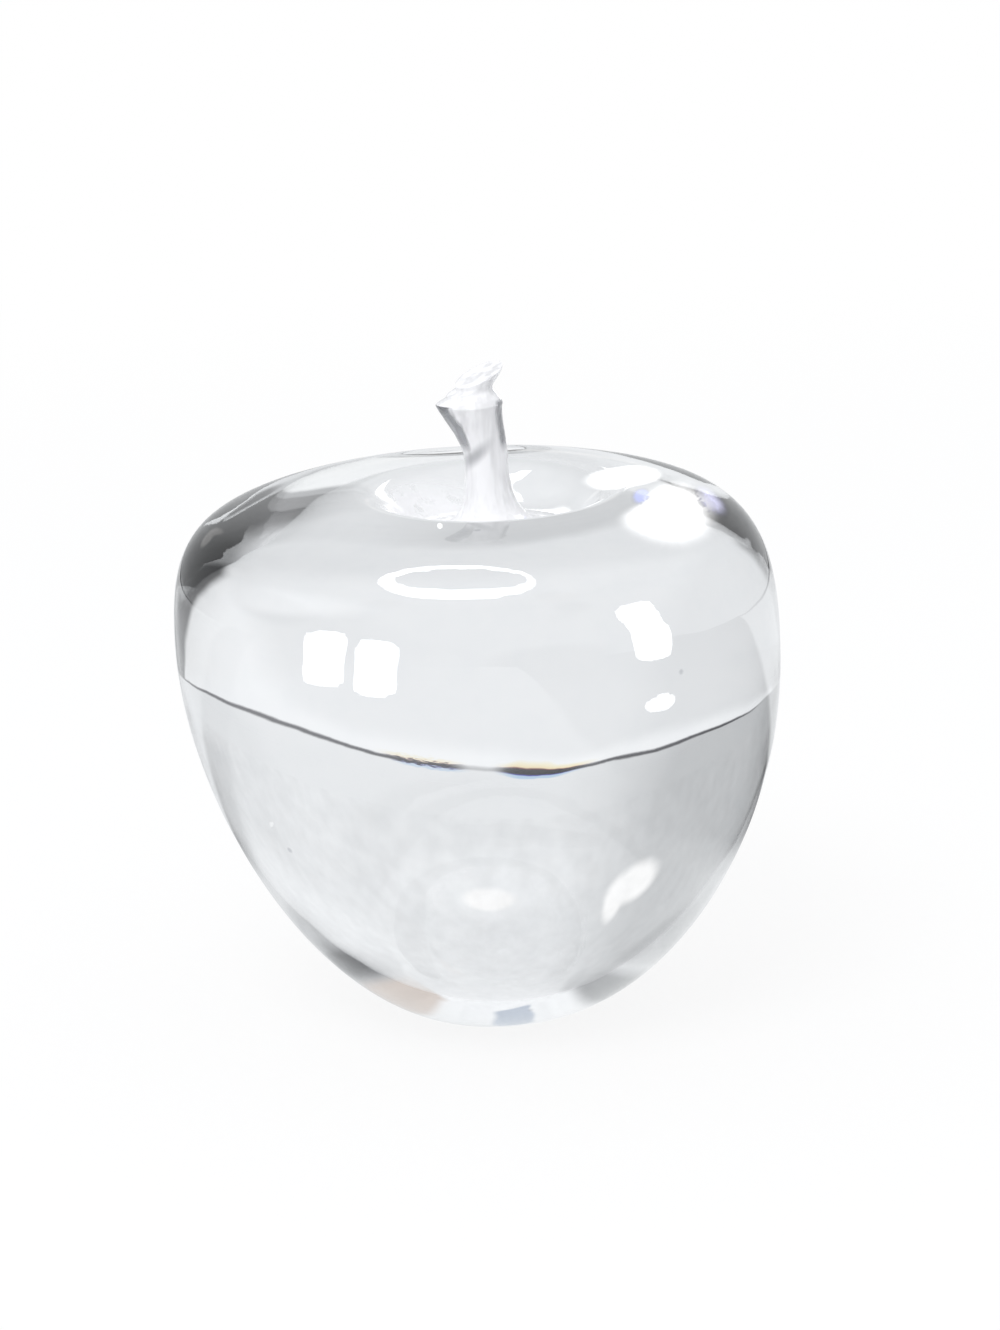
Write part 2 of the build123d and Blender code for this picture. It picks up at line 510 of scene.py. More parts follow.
# Froth: how far under the dimple's floor it starts, its heights over it, and its soft edge
FROTH_START = (0.004, 0.002)
BODY_FROTH_HEIGHT = 0.007
STEM_FROTH_HEIGHT = 0.005
FROTH_FULL_SHARE = 0.4
FROTH_FADE = 0.005
FROTH_MILK = 0.8
# Painted shade on the stem's sides, where its skin turns left or right: how far out on each side, where it
# starts above the waist and ends above the collar, and how upright the skin is
PAINTED_SHADE_LEFT = (-0.4, -0.66)
PAINTED_SHADE_RIGHT = (0.62, 0.9)
PAINTED_SHADE_START = (0.0008, 0.0036)
PAINTED_SHADE_END = (0.0009, 0.0002)
PAINTED_SHADE_UPRIGHT = (0.8, 0.6)
STREAK_SWAY = 0.5
STREAK_RELIEF = 0.00001
# The painted shade mark at the front of the waist: its middle, its half sizes and softness, and its lean
SHADE_MARK_MIDDLE = (-0.0028, 0.001)
SHADE_MARK_FORM = ((0.0009, 0.0015), 0.9)
SHADE_MARK_LEAN = 0.8
SHADE_MARK_FRONT = (0.0, -0.001)
SHADE_MARK_SHARE = 0.5
# Milk in the stem: the least, what the streaks add, and where the back is clear instead
VEIL_LEAST = 0.72
VEIL_MORE = 0.26
CLEAR_BACK = (0.0, 0.3)
CLEAR_LEFT = (0.25, -0.05)
CLEAR_RISE = 0.002
# Added so that nothing is divided by nothing, to a share and to a way
LEAST_SIDE = 0.001
LEAST_WAY = 1e-6


def glass_shader(tree, base, roughness, clearness, height):
    """The glass itself. Clearness falls where fine bubbles make it milky."""
    bump = node(tree, "Bump", inputs={"Strength": 1.0, "Distance": 1.0, "Height": height})
    glass = node(tree, "BsdfPrincipled", inputs={
        "Base Color": base, "Roughness": roughness, "IOR": 1.5,
        "Transmission Weight": clearness, "Normal": bump.outputs[0]})
    node(tree, "OutputMaterial", glass.outputs[0])


def froth_shares(tree, where, reach_up):
    """The froth round the root of the stem: where it is, its lumps, and how milky they are."""
    finish = bpy.context.scene.glass_apple_finish
    size = bpy.context.scene.glass_apple_body
    across, away, up = node(tree, "SeparateXYZ", where).outputs
    middle = size.crest_offset + finish.froth_shift
    off_middle = distance(tree, minus(tree, across, middle), away)
    floor = size.crest_height - size.dimple_depth
    froth = times(tree, ramp_to(tree, up, *[floor - depth for depth in FROTH_START]),
                  ramp_to(tree, up, floor + reach_up, floor + FROTH_FULL_SHARE * reach_up),
                  ramp_to(tree, off_middle, finish.froth_reach, finish.froth_reach - FROTH_FADE))
    lumps = noise(tree, where, *LUMPS)
    return froth, lumps, times(tree, froth, ramp_to(tree, lumps, *LUMP_RANGE))


def body_material():
    """Clear glass with faint cords and seeds, a ground foot, and froth round the root of the stem."""
    material, tree = new_tree("clear_glass")
    finish = bpy.context.scene.glass_apple_finish
    where = node(tree, "TexCoord").outputs["Object"]
    up = node(tree, "SeparateXYZ", where).outputs[2]
    froth, lumps, milk = froth_shares(tree, where, BODY_FROTH_HEIGHT)
    ground = ramp_to(tree, up, *GROUND_RANGE)
    cords = ramp_to(tree, noise(tree, where, *CORDS, CORD_STRETCH), *CORD_RANGE)
    mottle = ramp_to(tree, noise(tree, where, *MOTTLE), *MOTTLE_RANGE)
    faint = plus(tree, times(tree, cords, 0.5), times(tree, mottle, 0.5))
    seeds = node(tree, "TexVoronoi", where, inputs={"Scale": 75.0}).outputs["Distance"]
    base = blend(tree, faint, opaque(finish.tint), opaque(finish.cord_tint))
    base = blend(tree, ramp_to(tree, seeds, *SEED_RANGE), base, opaque(finish.seed_and_painted_shade_tint))
    base = blend(tree, milk, base, opaque(finish.froth_tint))
    base = blend(tree, ground, base, opaque(finish.ground_tint))
    smudge = ramp_to(tree, noise(tree, where, *SMUDGES), *SMUDGE_RANGE)
    roughness = plus(tree, times(tree, smudge, SMUDGE_ROUGHNESS), times(tree, froth, FROTH_ROUGHNESS))
    roughness = larger(tree, roughness, times(tree, ground, GROUND_ROUGHNESS))
    clearness = minus(tree, 1.0, times(tree, milk, FROTH_MILK))
    ripple = times(tree, noise(tree, where, *RIPPLES), finish.ripple)
    relief = times(tree, lumps, froth, finish.froth_relief)
    glass_shader(tree, base, roughness, clearness, plus(tree, ripple, relief))
    return material


def stem_material():
    """Drawn glass: milky with fine bubbles, painted shade at its sides and the front of its waist, clear on
    the left of its back.
    """
    material, tree = new_tree("stem_glass")
    finish = bpy.context.scene.glass_apple_finish
    body = bpy.context.scene.glass_apple_body
    size = bpy.context.scene.glass_apple_stem
    coordinates = node(tree, "TexCoord")
    where = coordinates.outputs["Object"]
    froth, lumps, root_milk = froth_shares(tree, where, STEM_FROTH_HEIGHT)
    right, back, top = node(tree, "SeparateXYZ", coordinates.outputs["Normal"]).outputs
    across, away, height = node(tree, "SeparateXYZ", where).outputs
    waist = body.crest_height - body.dimple_depth + size.waist_lift
    collar = waist + size.collar_lift
    side = maths(tree, "DIVIDE", right, plus(tree, distance(tree, right, back), LEAST_SIDE))
    streaks = noise(tree, where, *STREAKS, STREAK_STRETCH)
    turned = plus(tree, side, times(tree, minus(tree, streaks, 0.5), STREAK_SWAY))
    # Painted shade where the stem's skin turns to the left or the right
    painted_shade = larger(tree, ramp_to(tree, turned, *PAINTED_SHADE_LEFT), ramp_to(tree, turned, *PAINTED_SHADE_RIGHT))
    upright = times(tree, ramp_to(tree, maths(tree, "ABSOLUTE", top), *PAINTED_SHADE_UPRIGHT),
                    ramp_to(tree, height, *[waist + rise for rise in PAINTED_SHADE_START]))
    under_collar = ramp_to(tree, height, *[collar + rise for rise in PAINTED_SHADE_END])
    painted_shade = times(tree, painted_shade, times(tree, upright, under_collar))
    # A painted shade mark on the front of the waist
    leaning = minus(tree, across, times(tree, minus(tree, height, waist), SHADE_MARK_LEAN))
    middle = (body.crest_offset + SHADE_MARK_MIDDLE[0], waist + SHADE_MARK_MIDDLE[1])
    painted_shade_mark = oval(tree, leaning, height, middle, *SHADE_MARK_FORM)
    painted_shade = larger(tree, painted_shade, times(tree, painted_shade_mark, ramp_to(tree, away, *SHADE_MARK_FRONT), SHADE_MARK_SHARE))
    veil = plus(tree, VEIL_LEAST, times(tree, ramp_to(tree, streaks, *VEIL_RANGE), VEIL_MORE))
    hidden = times(tree, ramp_to(tree, back, *CLEAR_BACK), ramp_to(tree, side, *CLEAR_LEFT),
                   ramp_to(tree, height, waist, waist + CLEAR_RISE))
    milk = times(tree, veil, minus(tree, 1.0, larger(tree, painted_shade, hidden)))
    milk = larger(tree, milk, root_milk)
    base = blend(tree, painted_shade, opaque(finish.froth_tint), opaque(finish.seed_and_painted_shade_tint))
    relief = plus(tree, times(tree, streaks, STREAK_RELIEF),
                  times(tree, lumps, froth, finish.froth_relief))
    glass_shader(tree, base, times(tree, milk, MILK_ROUGHNESS), minus(tree, 1.0, milk), relief)
    return material


def joint_material():
    """The fused joint, where nothing shows."""
    material, tree = new_tree("fused_joint")
    node(tree, "OutputMaterial", node(tree, "BsdfTransparent").outputs[0])
    return material


class GLASSAPPLE_OT_body(bpy.types.Operator):
    """Make the body of the apple"""
    bl_idname = "glass_apple.body"
    bl_label = "Apple Body"

    def execute(self, context):
        obj = build_body()
        obj.data.materials.append(body_material())
        obj.data.materials.append(joint_material())
        close_mesh(joint_slot=True)
        finish = context.scene.glass_apple_finish
        hand_waves(obj, finish.body_wave, BODY_WAVE_REACH, body_share)
        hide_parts("apple_body")
        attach(obj, "root")
        return {"FINISHED"}


class GLASSAPPLE_OT_stem(bpy.types.Operator):
    """Make the stem of the apple"""
    bl_idname = "glass_apple.stem"
    bl_label = "Apple Stem"

    def execute(self, context):
        obj = build_stem()
        obj.data.materials.append(stem_material())
        obj.data.materials.append(bpy.data.materials["fused_joint"])
        close_mesh(joint_slot=False)
        finish = context.scene.glass_apple_finish
        hand_waves(obj, finish.stem_wave, STEM_WAVE_REACH, stem_share)
        for face in obj.data.polygons[:STEM_SIDES]:
            face.material_index = 1
        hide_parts("stem")
        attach(obj, "root")
        return {"FINISHED"}


class GLASSAPPLE_OT_stage(bpy.types.Operator):
    """Make the camera, the floor, the room and the lamps"""
    bl_idname = "glass_apple.stage"
    bl_label = "Stage"

    def execute(self, context):
        place_camera(context.scene)
        context.view_layer.update()
        make_floor()
        make_room(context.scene)
        make_lamps(context.scene)
        return {"FINISHED"}


AIM_HEIGHT = 0.035
CAMERA_DISTANCE = 0.5
CAMERA_PITCH = 16.5
CAMERA_ROLL = 2.5
CAMERA_LENS = 101.2
CAMERA_SHIFT = (0.0129, 0.0639)


def place_camera(scene):
    """The camera looks down a little from the front, and leans a little to the right."""
    data = bpy.data.cameras.new("camera")
    data.lens = CAMERA_LENS
    data.sensor_width = 36.0
    data.shift_x, data.shift_y = CAMERA_SHIFT
    data.clip_start = 0.01
    camera = bpy.data.objects.new("camera", data)
    scene.collection.objects.link(camera)
    pitch = math.radians(CAMERA_PITCH)
    camera.rotation_mode = "ZYX"
    camera.rotation_euler = (math.radians(90.0) - pitch, 0.0, math.radians(-CAMERA_ROLL))
    camera.location = (0.0, -CAMERA_DISTANCE * math.cos(pitch),
                       AIM_HEIGHT + CAMERA_DISTANCE * math.sin(pitch))
    scene.camera = camera


WHITE = (1.0, 1.0, 1.0, 1.0)
CEILING = grey(251)
DARK_ROOM = shade(16, 16, 19)
# Colours of the table's far edge as the glass shows it: a painted shadow line with painted colour fringes
EDGE_DARK = shade(10, 6, 26)
EDGE_GREY = shade(84, 83, 88)
EDGE_CREAM = shade(254, 246, 218)
EDGE_WARM = shade(250, 230, 186)
EDGE_RED = shade(120, 50, 62)
EDGE_COOL = shade(80, 80, 185)
EDGE_PALE = shade(200, 224, 248)

FLOOR_DROP = 0.00002
SHADOW_SHARE = 0.15
SHADOW_REACH = 0.3
# Grey levels by direction, in degrees round from the back, positive to the right
TABLE_LEVELS = ((-180, 240), (-60, 228), (-20, 227), (-13, 235), (10, 236), (20, 238), (28, 252), (90, 255),
                (180, 252))
ROOM_LEVELS = ((-180, 222), (-70, 222), (-60, 192), (-50, 200), (-34, 199), (-25, 199), (-17, 217), (-8, 232),
               (4, 234), (20, 236), (30, 236), (38, 230), (54, 232), (66, 244), (120, 224), (180, 222))
# The table's far edge is a slanted line. It lies farther off in the middle and at two bulges and comes
# nearer on the right, each by how much and where, set to bring its picture in the glass to the
# photograph's line.
TABLE_END = 0.382
TABLE_YAW = 0.18
EDGE_MIDDLE = (0.038, 0.12, 0.06)
EDGE_RIGHT = (0.015, 0.1, 0.16)
EDGE_BULGE = (0.022, -0.044, 0.026)
EDGE_WIDE_BULGE = (0.018, -0.09, 0.085)
BULGE_DEPTH = 0.3
BULGE_SOFT = 0.5
# Stretches of the edge's line: middle, half sizes and softness
LINE_FRINGED = ((-0.043, 0.41), (0.034, 0.2), 0.35)
LINE_WIDEST = ((-0.03, 0.41), (0.015, 0.2), 0.4)
LINE_FAINT = ((0.008, 0.41), (0.014, 0.2), 0.6)
LINE_ROUGH = ((0.046, 0.41), (0.024, 0.2), 0.4)
LINE_HALF = 0.0145
LINE_MORE = 0.007
LINE_JAGS = (180.0, 3.0)
LINE_JAG_HEIGHT = 0.06
ROUGH_FRINGE = 0.7
FAINT_SHARE = 0.6
# Where the line is gone, on the right and on the left
LINE_GONE = ((0.6, 1.0), (-0.3, -0.9))
# Colours of the painted shadow line and its painted colour fringes, over the line and beside it, within so
# many of its half widths
LINE_SPAN = 3.0
PLAIN_LINE = ((0.26, WHITE), (0.42, EDGE_GREY), (0.58, EDGE_GREY), (0.76, WHITE))
FRINGED_LINE = ((0.02, WHITE), (0.14, EDGE_CREAM), (0.28, EDGE_WARM), (0.33, EDGE_RED), (0.37, EDGE_DARK),
                (0.6, EDGE_DARK), (0.65, EDGE_COOL), (0.71, EDGE_PALE), (0.84, EDGE_PALE), (0.97, WHITE))
# Spots on the table: tone, middle, half sizes and softness
BRIGHT_SPOT = (grey(252), (0.036, 0.107), (0.02, 0.02), 0.5)
# Painted shadow of the apple on the table, shown only through the glass: faint behind it, darker at its foot
PAINTED_SHADOW_BEHIND_FOOT = (grey(229), (-0.004, 0.054), (0.03, 0.02), 0.5)
PAINTED_SHADOW_AT_FOOT = (grey(198), (0.008, 0.0425), (0.013, 0.005), 0.5)
FRONT_SPOT = (grey(140), (0.068, -0.048), (0.014, 0.02), 0.5)
PALE_STRIP = grey(248)
PALE_STRIP_RANGE = (-0.14, -0.05)
# The dark at the table's sides: how far out it starts, how that slants, and how soft it is
DARK_SIDE = 0.057
DARK_SLANT = 0.25
DARK_SOFT = 0.009
# How far back it reaches and how that spreads: on the left, and how much more on the right
DARK_SIDES = ((0.048, 0.012), (0.27, 0.07))
DARK_END_RANGE = (-0.007, 0.009)
DARK_LEFT_RANGE = (0.015, 0.035)
FAR_LEFT_RANGE = (-0.1, -0.125)
FAR_LEFT_FADE = 0.6
# Half the width over which one side turns into the other
CHANGE = 0.001


def seen_share(tree):
    """1 for what the camera sees straight, mirrored or through glass, and 0 for light on a surface."""
    path = node(tree, "LightPath")
    seen = plus(tree, path.outputs["Is Camera Ray"], path.outputs["Is Glossy Ray"])
    seen = plus(tree, seen, path.outputs["Is Transmission Ray"])
    return path, maths(tree, "MINIMUM", seen, 1.0)


def colour_ramp(tree, value, stops):
    """A colour that runs through the stops, each a position from 0 to 1 and its colour."""
    ramp_node = node(tree, "ValToRGB", value)
    ramp = ramp_node.color_ramp
    ramp.elements[0].position, ramp.elements[0].color = stops[0]
    ramp.elements[1].position, ramp.elements[1].color = stops[-1]
    for position, colour in stops[1:-1]:
        ramp.elements.new(position).color = colour
    return ramp_node.outputs[0]


def levels_round(tree, degrees_round, levels):
    """The grey that belongs to a direction."""
    turned = node(tree, "MapRange", degrees_round, -180.0, 180.0, 0.0, 1.0).outputs[0]
    return colour_ramp(tree, turned, [((way + 180.0) / 360.0, grey(level)) for way, level in levels])


def past_edge(tree, across, away, sideways):
    """How far a place on the floor lies past the table's far edge."""
    def without_bulge(past, bulge):
        much, middle, half = bulge
        form = oval(tree, across, away, (middle, TABLE_END), (half, BULGE_DEPTH), BULGE_SOFT)
        return minus(tree, past, times(tree, form, much))

    past = minus(tree, plus(tree, away, times(tree, across, TABLE_YAW)), TABLE_END)
    much, *where = EDGE_MIDDLE
    past = without_bulge(minus(tree, past, times(tree, ramp_to(tree, sideways, *where), much)), EDGE_BULGE)
    much, *where = EDGE_RIGHT
    past = plus(tree, past, times(tree, ramp_to(tree, across, *where), much))
    return without_bulge(past, EDGE_WIDE_BULGE)


def table_edge(tree, past, across, away):
    """The table's far edge: a painted shadow line in the gap there, with painted warm and cool colour fringes
    where it is widest.
    """
    fringed, widest, faint, rough = [
        oval(tree, across, away, *form) for form in (LINE_FRINGED, LINE_WIDEST, LINE_FAINT, LINE_ROUGH)]
    where = node(tree, "TexCoord").outputs["Object"]
    jag = minus(tree, noise(tree, where, *LINE_JAGS), 0.5)
    past = plus(tree, past, times(tree, jag, rough, LINE_JAG_HEIGHT))
    half = plus(tree, LINE_HALF, times(tree, fringed, LINE_MORE))
    half = plus(tree, half, times(tree, widest, LINE_MORE))
    over = node(tree, "MapRange", maths(tree, "DIVIDE", past, half), -LINE_SPAN, LINE_SPAN, 0.0, 1.0)
    plain = colour_ramp(tree, over.outputs[0], PLAIN_LINE)
    coloured = colour_ramp(tree, over.outputs[0], FRINGED_LINE)
    line = blend(tree, larger(tree, fringed, times(tree, rough, ROUGH_FRINGE)), plain, coloured)
    gone = larger(tree, *[ramp_to(tree, across, *where_gone) for where_gone in LINE_GONE])
    return blend(tree, larger(tree, times(tree, faint, FAINT_SHARE), gone), line, WHITE)


def dark_beside(tree, across, away, sideways):
    """Where the dark at the table's sides shows, from 0 to 1."""
    right = ramp_to(tree, across, -CHANGE, CHANGE)
    start, spread = [plus(tree, left, times(tree, right, more)) for left, more in DARK_SIDES]
    inside = minus(tree, plus(tree, times(tree, sideways, spread), start), away)
    out = plus(tree, sideways, times(tree, away, DARK_SLANT))
    far_left = times(tree, ramp_to(tree, across, *FAR_LEFT_RANGE), FAR_LEFT_FADE)
    return times(tree, ramp_to(tree, inside, *DARK_END_RANGE),
                 ramp_to(tree, out, DARK_SIDE - DARK_SOFT, DARK_SIDE + DARK_SOFT),
                 larger(tree, right, ramp_to(tree, away, *DARK_LEFT_RANGE)), minus(tree, 1.0, far_left))


def make_floor():
    """Pale floor, with the table and its far edge that the glass shows."""
    bpy.ops.object.select_all(action="DESELECT")
    bpy.ops.mesh.primitive_plane_add(size=60.0, location=(0.0, 0.0, -FLOOR_DROP))
    floor = bpy.context.object
    floor.name = "floor"
    material, tree = new_tree("pale_floor")
    apart = node(tree, "SeparateXYZ", node(tree, "TexCoord").outputs["Object"])
    across, away = apart.outputs[0], apart.outputs[1]
    middle_out = distance(tree, across, away)
    sideways = maths(tree, "ABSOLUTE", across)
    round_way = maths(tree, "DEGREES", maths(tree, "ARCTAN2", across, away))
    past = past_edge(tree, across, away, sideways)
    table = levels_round(tree, round_way, TABLE_LEVELS)
    table = with_spot(tree, table, across, away, BRIGHT_SPOT)
    table = blend(tree, ramp_to(tree, past, *PALE_STRIP_RANGE), table, PALE_STRIP)
    # The apple's painted shadow behind its foot
    table = with_spot(tree, table, across, away, PAINTED_SHADOW_BEHIND_FOOT)
    table = with_spot(tree, table, across, away, PAINTED_SHADOW_AT_FOOT)
    table = blend(tree, dark_beside(tree, across, away, sideways), table, DARK_ROOM)
    table = with_spot(tree, table, across, away, FRONT_SPOT)

    beyond = blend(tree, ramp_to(tree, past, -CHANGE, CHANGE), table,
                   levels_round(tree, round_way, ROOM_LEVELS))
    mix = node(tree, "Mix", 1.0, data_type="RGBA", blend_type="MULTIPLY")
    tree.links.new(beyond, mix.inputs[6])
    tree.links.new(table_edge(tree, past, across, away), mix.inputs[7])

    path, seen = seen_share(tree)
    shown = blend(tree, path.outputs["Is Camera Ray"], mix.outputs[2], WHITE)
    glow = node(tree, "Emission", shown, 1.0)
    lit = node(tree, "BsdfDiffuse", shade(250, 250, 250))
    near = ramp_to(tree, middle_out, 2.0 * SHADOW_REACH, SHADOW_REACH)
    share = times(tree, seen, minus(tree, 1.0, times(tree, near, SHADOW_SHARE)))
    surface = node(tree, "MixShader", share, lit.outputs[0], glow.outputs[0])
    node(tree, "OutputMaterial", surface.outputs[0])
    floor.data.materials.append(material)


# Tone, middle, half sizes and softness, as directions in degrees round from the back and up
ROOM_PATCHES = {
    "left side": (DARK_ROOM, (-88.0, 24.0), (24.0, 13.0), 0.3),
    "far left high": (grey(172), (-42.0, 38.0), (14.0, 9.0), 0.4),
    "right high": (grey(248), (48.0, 27.0), (30.0, 11.0), 0.5),
    "middle low": (grey(241), (3.0, 8.5), (11.0, 4.0), 0.6),
    "dark doorway": (DARK_ROOM, (153.0, 0.5), (24.0, 9.3), 0.3),
    "front left wall": (grey(206), (-160.0, 11.0), (14.0, 5.0), 0.3),
    "left wall high": (grey(206), (-131.0, 36.0), (10.0, 8.0), 0.5),
    "high wall right": (shade(214, 203, 195), (131.0, 57.5), (10.0, 8.5), 0.3),
    "wall right": (grey(188), (142.0, 33.5), (7.0, 5.0), 0.6),
    "high corner right": (grey(92), (134.5, 42.0), (7.0, 6.5), 0.6),
    "high corner left": (grey(160), (-130.0, 56.0), (10.0, 7.0), 0.5),
    "soft window a": (WHITE, (-22.2, 12.3), (4.6, 3.0), 0.35),
    "soft window b": (WHITE, (-18.8, 14.2), (1.7, 3.6), 0.4),
    "soft window c": (WHITE, (1.5, 9.8), (3.6, 1.6), 0.3),
    "vent": (shade(186, 196, 210), (-170.0, 75.0), (22.0, 2.6), 0.2),
}
# Degrees up over which the walls turn into the ceiling
CEILING_RANGE = (52.0, 66.0)
# The room's unevenness: features and detail, and the noise that gives which brightness
ROOM_MOTTLE = (24.0, 4.0)
ROOM_NOISE = (0.3, 0.7)
ROOM_BRIGHTNESS = (0.945, 1.03)


def make_room(scene):
    """The world: white to the camera, and through the glass a pale room with darker places."""
    world = bpy.data.worlds.new("room")
    world.use_nodes = True
    scene.world = world
    tree = world.node_tree
    tree.nodes.clear()
    way = node(tree, "TexCoord").outputs["Generated"]
    right, back, up = node(tree, "SeparateXYZ", way).outputs
    round_way = maths(tree, "DEGREES", maths(tree, "ARCTAN2", right, back))
    rise = maths(tree, "DEGREES", maths(tree, "ARCSINE", up))
    tone = levels_round(tree, round_way, ROOM_LEVELS)
    tone = blend(tree, ramp_to(tree, rise, *CEILING_RANGE), tone, CEILING)
    for patch in ROOM_PATCHES.values():
        tone = with_spot(tree, tone, round_way, rise, patch, wrap=True)
    mottle = noise(tree, way, *ROOM_MOTTLE)
    uneven = node(tree, "MapRange", mottle, *ROOM_NOISE, *ROOM_BRIGHTNESS).outputs[0]
    tone = node(tree, "VectorMath", tone, inputs={"Scale": uneven}, operation="SCALE").outputs[0]
    path, seen = seen_share(tree)
    shown = blend(tree, path.outputs["Is Camera Ray"], tone, WHITE)
    light = blend(tree, seen, shade(240, 241, 244), shown)
    node(tree, "OutputWorld", node(tree, "Background", light, 1.0).outputs[0])


PICTURE = (1000, 1330)
# How far a ray may be off a card's distance from the skin: at least, and as a share of it
CARD_ROOM = 0.0015
CARD_ROOM_SHARE = 0.01
# Rings of points from a card's edge to its middle, so that all of it keeps that distance
CARD_RINGS = 6
# Middle and half sizes of the round lamp's outer and inner edge, in the picture
RING_LAMP = (((457.5, 582.5), (79.5, 17.5)), ((461.0, 579.5), (67.0, 10.5)))
RING_LAMP_SIDES = 48
RING_LAMP_REACH = 0.5
RING_LAMP_STRENGTH = 9.0
# Painted highlight cards: distance from the skin, strength, softness, colour and corners in the picture
PANES = {
    "left_window_a": (0.2, 9.0, 0.0, WHITE, (
        (302, 634), (320, 630), (347, 633), (349, 645), (343, 664), (344, 684), (330, 688), (305, 684),
        (301, 672), (304, 655))),
    "left_window_b": (0.2, 9.0, 0.0, WHITE, (
        (355, 648), (361, 639), (378, 638), (399, 646), (401, 655), (396, 672), (397, 693), (385, 698),
        (358, 695), (352, 688), (356, 668))),
    "right_window": (0.2, 9.0, 0.0, WHITE, (
        (614, 610), (628, 604), (646, 599), (655, 606), (662, 620), (672, 630), (673, 655), (655, 662),
        (638, 661), (633, 645), (629, 628), (618, 620))),
    "right_window_low": (0.12, 7.0, 0.0, WHITE, (
        (645, 703), (656, 696), (666, 693), (675, 695), (675, 705), (660, 712), (646, 712))),
    "top_window": (0.05, 5.0, 0.4, WHITE, (
        (570, 482), (584, 471), (612, 465), (640, 462), (664, 467), (672, 478), (650, 486), (618, 492),
        (586, 493))),
    "top_window_low": (0.03, 8.0, 0.6, WHITE, (
        (634, 498), (646, 483), (664, 473), (688, 473), (710, 484), (726, 501), (732, 521), (722, 543),
        (698, 557), (668, 558), (638, 549), (614, 536), (602, 519), (620, 506))),
    "right_glow": (0.03, 4.0, 0.8, shade(226, 226, 255), (
        (690, 478), (708, 483), (724, 496), (733, 510), (731, 520), (718, 522), (702, 514), (690, 496))),
    "top_fringe": (0.03, 2.2, 0.6, shade(150, 165, 255), (
        (628, 494), (638, 486), (650, 487), (654, 496), (646, 506), (632, 507))),
    # Painted glints: small glowing cards, not specks in the glass
    "glint_a": (0.05, 3.0, 0.6, WHITE, (
        (435, 526), (437, 522), (441, 521), (445, 525), (443, 530), (438, 531))),
    "glint_b": (0.05, 2.0, 0.6, WHITE, (
        (268, 824), (270, 820), (274, 820), (276, 825), (273, 829), (269, 828))),
}


def picture_ray(x, y):
    """The camera's position, and the direction in which it sees a point of the photo's size."""
    camera = bpy.context.scene.camera
    focal = camera.data.lens / camera.data.sensor_width
    right = (x - PICTURE[0] / 2.0) / PICTURE[1] + camera.data.shift_x
    up = (PICTURE[1] / 2.0 - y) / PICTURE[1] + camera.data.shift_y
    turned = camera.matrix_world.to_3x3() @ Vector((right / focal, up / focal, -1.0))
    return camera.matrix_world.translation, turned.normalized()


def mirror_point(x, y, reach):
    """The place that the body mirrors at a point of the picture, at some distance from the skin."""
    body = bpy.data.objects["apple_body_glass"]
    start, way = picture_ray(x, y)
    hit, place, _, face = body.ray_cast(start, way)
    if not hit:
        raise ValueError(f"the body isn't at {x}, {y} in the picture")
    normal = Vector((0.0, 0.0, 0.0))
    for index in body.data.polygons[face].vertices:
        corner = body.data.vertices[index]
        normal += corner.normal / ((corner.co - place).length + LEAST_WAY)
    normal.normalize()
    return place + (way - 2.0 * way.dot(normal) * normal) * reach


def highlight_card(name, points, faces, inward, reach, tone, strength, soft):
    """A glowing card that lights nothing, for one painted highlight in the skin: it only shows at its own
    distance from there.
    """
    mesh = bpy.data.meshes.new(name)
    mesh.from_pydata(points, [], faces)
    mesh.attributes.new("inward", "FLOAT", "POINT").data.foreach_set("value", inward)
    card = bpy.data.objects.new(name, mesh)
    bpy.context.scene.collection.objects.link(card)
    material, tree = new_tree(name)
    path = node(tree, "LightPath")
    off = maths(tree, "ABSOLUTE", minus(tree, path.outputs["Ray Length"], reach))
    shows = times(tree, maths(tree, "LESS_THAN", path.outputs["Transmission Depth"], 0.5),
                  maths(tree, "LESS_THAN", off, CARD_ROOM + CARD_ROOM_SHARE * reach))
    power = times(tree, shows, strength)
    if soft:
        inner = node(tree, "Attribute", attribute_name="inward").outputs["Fac"]
        edge = ramp_to(tree, inner, 0.0, soft)
        power, shows = times(tree, power, edge), times(tree, shows, edge)
    glow = node(tree, "Emission", tone, power)
    surface = node(tree, "MixShader", shows, node(tree, "BsdfTransparent").outputs[0], glow.outputs[0])
    node(tree, "OutputMaterial", surface.outputs[0])
    mesh.materials.append(material)
    card.visible_camera = card.visible_diffuse = card.visible_transmission = False
    card.visible_shadow = card.visible_volume_scatter = False


def round_corners(corners, rounds=3):
    """A smooth outline: each round cuts a quarter off both ends of every edge."""
    for _ in range(rounds):
        following = corners[1:] + corners[:1]
        corners = [point for (x, y), (u, v) in zip(corners, following)
                   for point in ((0.75 * x + 0.25 * u, 0.75 * y + 0.25 * v),
                                 (0.25 * x + 0.75 * u, 0.25 * y + 0.75 * v))]
    return corners


def make_soft_lamp(scene):
    """A soft lamp for the light and the shadow, which itself isn't seen in the glass."""
    light = bpy.data.lights.new("soft_lamp", "AREA")
    light.shape = "DISK"
    light.size = 0.5
    light.energy = 3.0
    lamp = bpy.data.objects.new("soft_lamp", light)
    scene.collection.objects.link(lamp)
    lamp.location = (-0.25, -0.55, 0.9)
    aim = Vector((0.0, 0.0, 0.03))
    lamp.rotation_euler = (aim - lamp.location).to_track_quat("-Z", "Y").to_euler()
    lamp.visible_glossy = lamp.visible_transmission = False


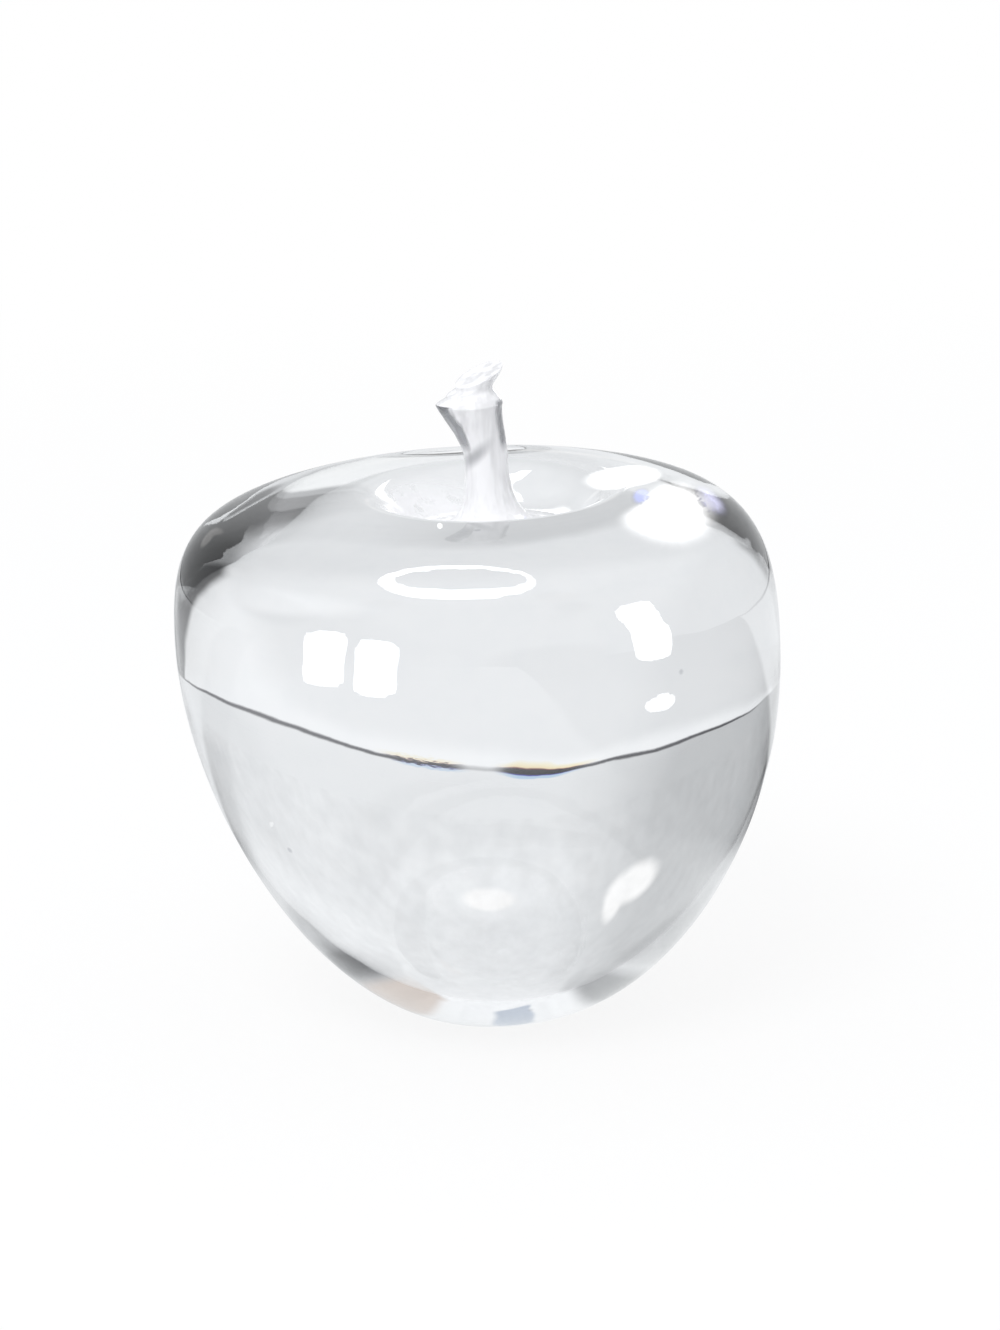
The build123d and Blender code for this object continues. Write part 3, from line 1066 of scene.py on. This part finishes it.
def make_ring_lamp():
    """A glowing band between two ovals that lights nothing: the painted highlight of a round lamp under the
    dimple.
    """
    sides = RING_LAMP_SIDES
    points = []
    for (x, y), (wide, high) in RING_LAMP:
        for step in range(sides):
            way = 2.0 * math.pi * step / sides
            points.append(mirror_point(x + wide * math.cos(way), y + high * math.sin(way), RING_LAMP_REACH))
    faces = [(i, (i + 1) % sides, sides + (i + 1) % sides, sides + i) for i in range(sides)]
    highlight_card("ring_lamp", points, faces, [1.0] * len(points), RING_LAMP_REACH, WHITE,
                  RING_LAMP_STRENGTH, 0.0)


def make_pane(name, reach, strength, soft, tone, corners):
    """A glowing card for one painted highlight in the skin: rings of points, from its edge to its middle."""
    edge = round_corners(corners)
    count = len(edge)
    middle = (sum(x for x, y in edge) / count, sum(y for x, y in edge) / count)
    points, inward = [], []
    for step in range(CARD_RINGS):
        share = step / CARD_RINGS
        points += [mirror_point(x + share * (middle[0] - x), y + share * (middle[1] - y), reach)
                   for x, y in edge]
        inward += [share] * count
    points.append(mirror_point(*middle, reach))
    last = (CARD_RINGS - 1) * count
    faces = [(first + i, first + (i + 1) % count, first + count + (i + 1) % count, first + count + i)
             for first in range(0, last, count) for i in range(count)]
    faces += [(last + i, last + (i + 1) % count, last + count) for i in range(count)]
    highlight_card(name, points, faces, inward + [1.0], reach, tone, strength, soft)


def make_lamps(scene):
    """The soft lamp, and the glowing cards that paint highlights in the skin."""
    make_soft_lamp(scene)
    make_ring_lamp()
    for name, pane in PANES.items():
        make_pane(name, *pane)


class GLASSAPPLE_PT_panel(bpy.types.Panel):
    """Sizes and colours of the glass apple, and its pieces"""
    bl_idname = "GLASSAPPLE_PT_panel"
    bl_label = "Glass Apple"
    bl_space_type = "VIEW_3D"
    bl_region_type = "UI"
    bl_category = "Glass Apple"

    def draw(self, context):
        layout = self.layout
        scene = context.scene
        for group in (scene.glass_apple_body, scene.glass_apple_stem, scene.glass_apple_finish):
            box = layout.box()
            for name in group.__annotations__:
                box.prop(group, name)
        for operator in OPERATORS:
            layout.operator(operator.bl_idname)


OPERATORS = (GLASSAPPLE_OT_body, GLASSAPPLE_OT_stem, GLASSAPPLE_OT_stage)
CLASSES = (BodySizes, StemSizes, GlassFinish) + OPERATORS + (GLASSAPPLE_PT_panel,)


def register():
    for cls in CLASSES:
        bpy.utils.register_class(cls)
    bpy.types.Scene.glass_apple_body = bpy.props.PointerProperty(type=BodySizes)
    bpy.types.Scene.glass_apple_stem = bpy.props.PointerProperty(type=StemSizes)
    bpy.types.Scene.glass_apple_finish = bpy.props.PointerProperty(type=GlassFinish)


def unregister():
    del bpy.types.Scene.glass_apple_finish
    del bpy.types.Scene.glass_apple_stem
    del bpy.types.Scene.glass_apple_body
    for cls in reversed(CLASSES):
        bpy.utils.unregister_class(cls)


def main():
    register()
    bpy.ops.glass_apple.body()
    bpy.ops.glass_apple.stem()
    bpy.ops.glass_apple.stage()
    bpy.context.scene.view_settings.view_transform = "Standard"


if __name__ == "__main__":
    main()
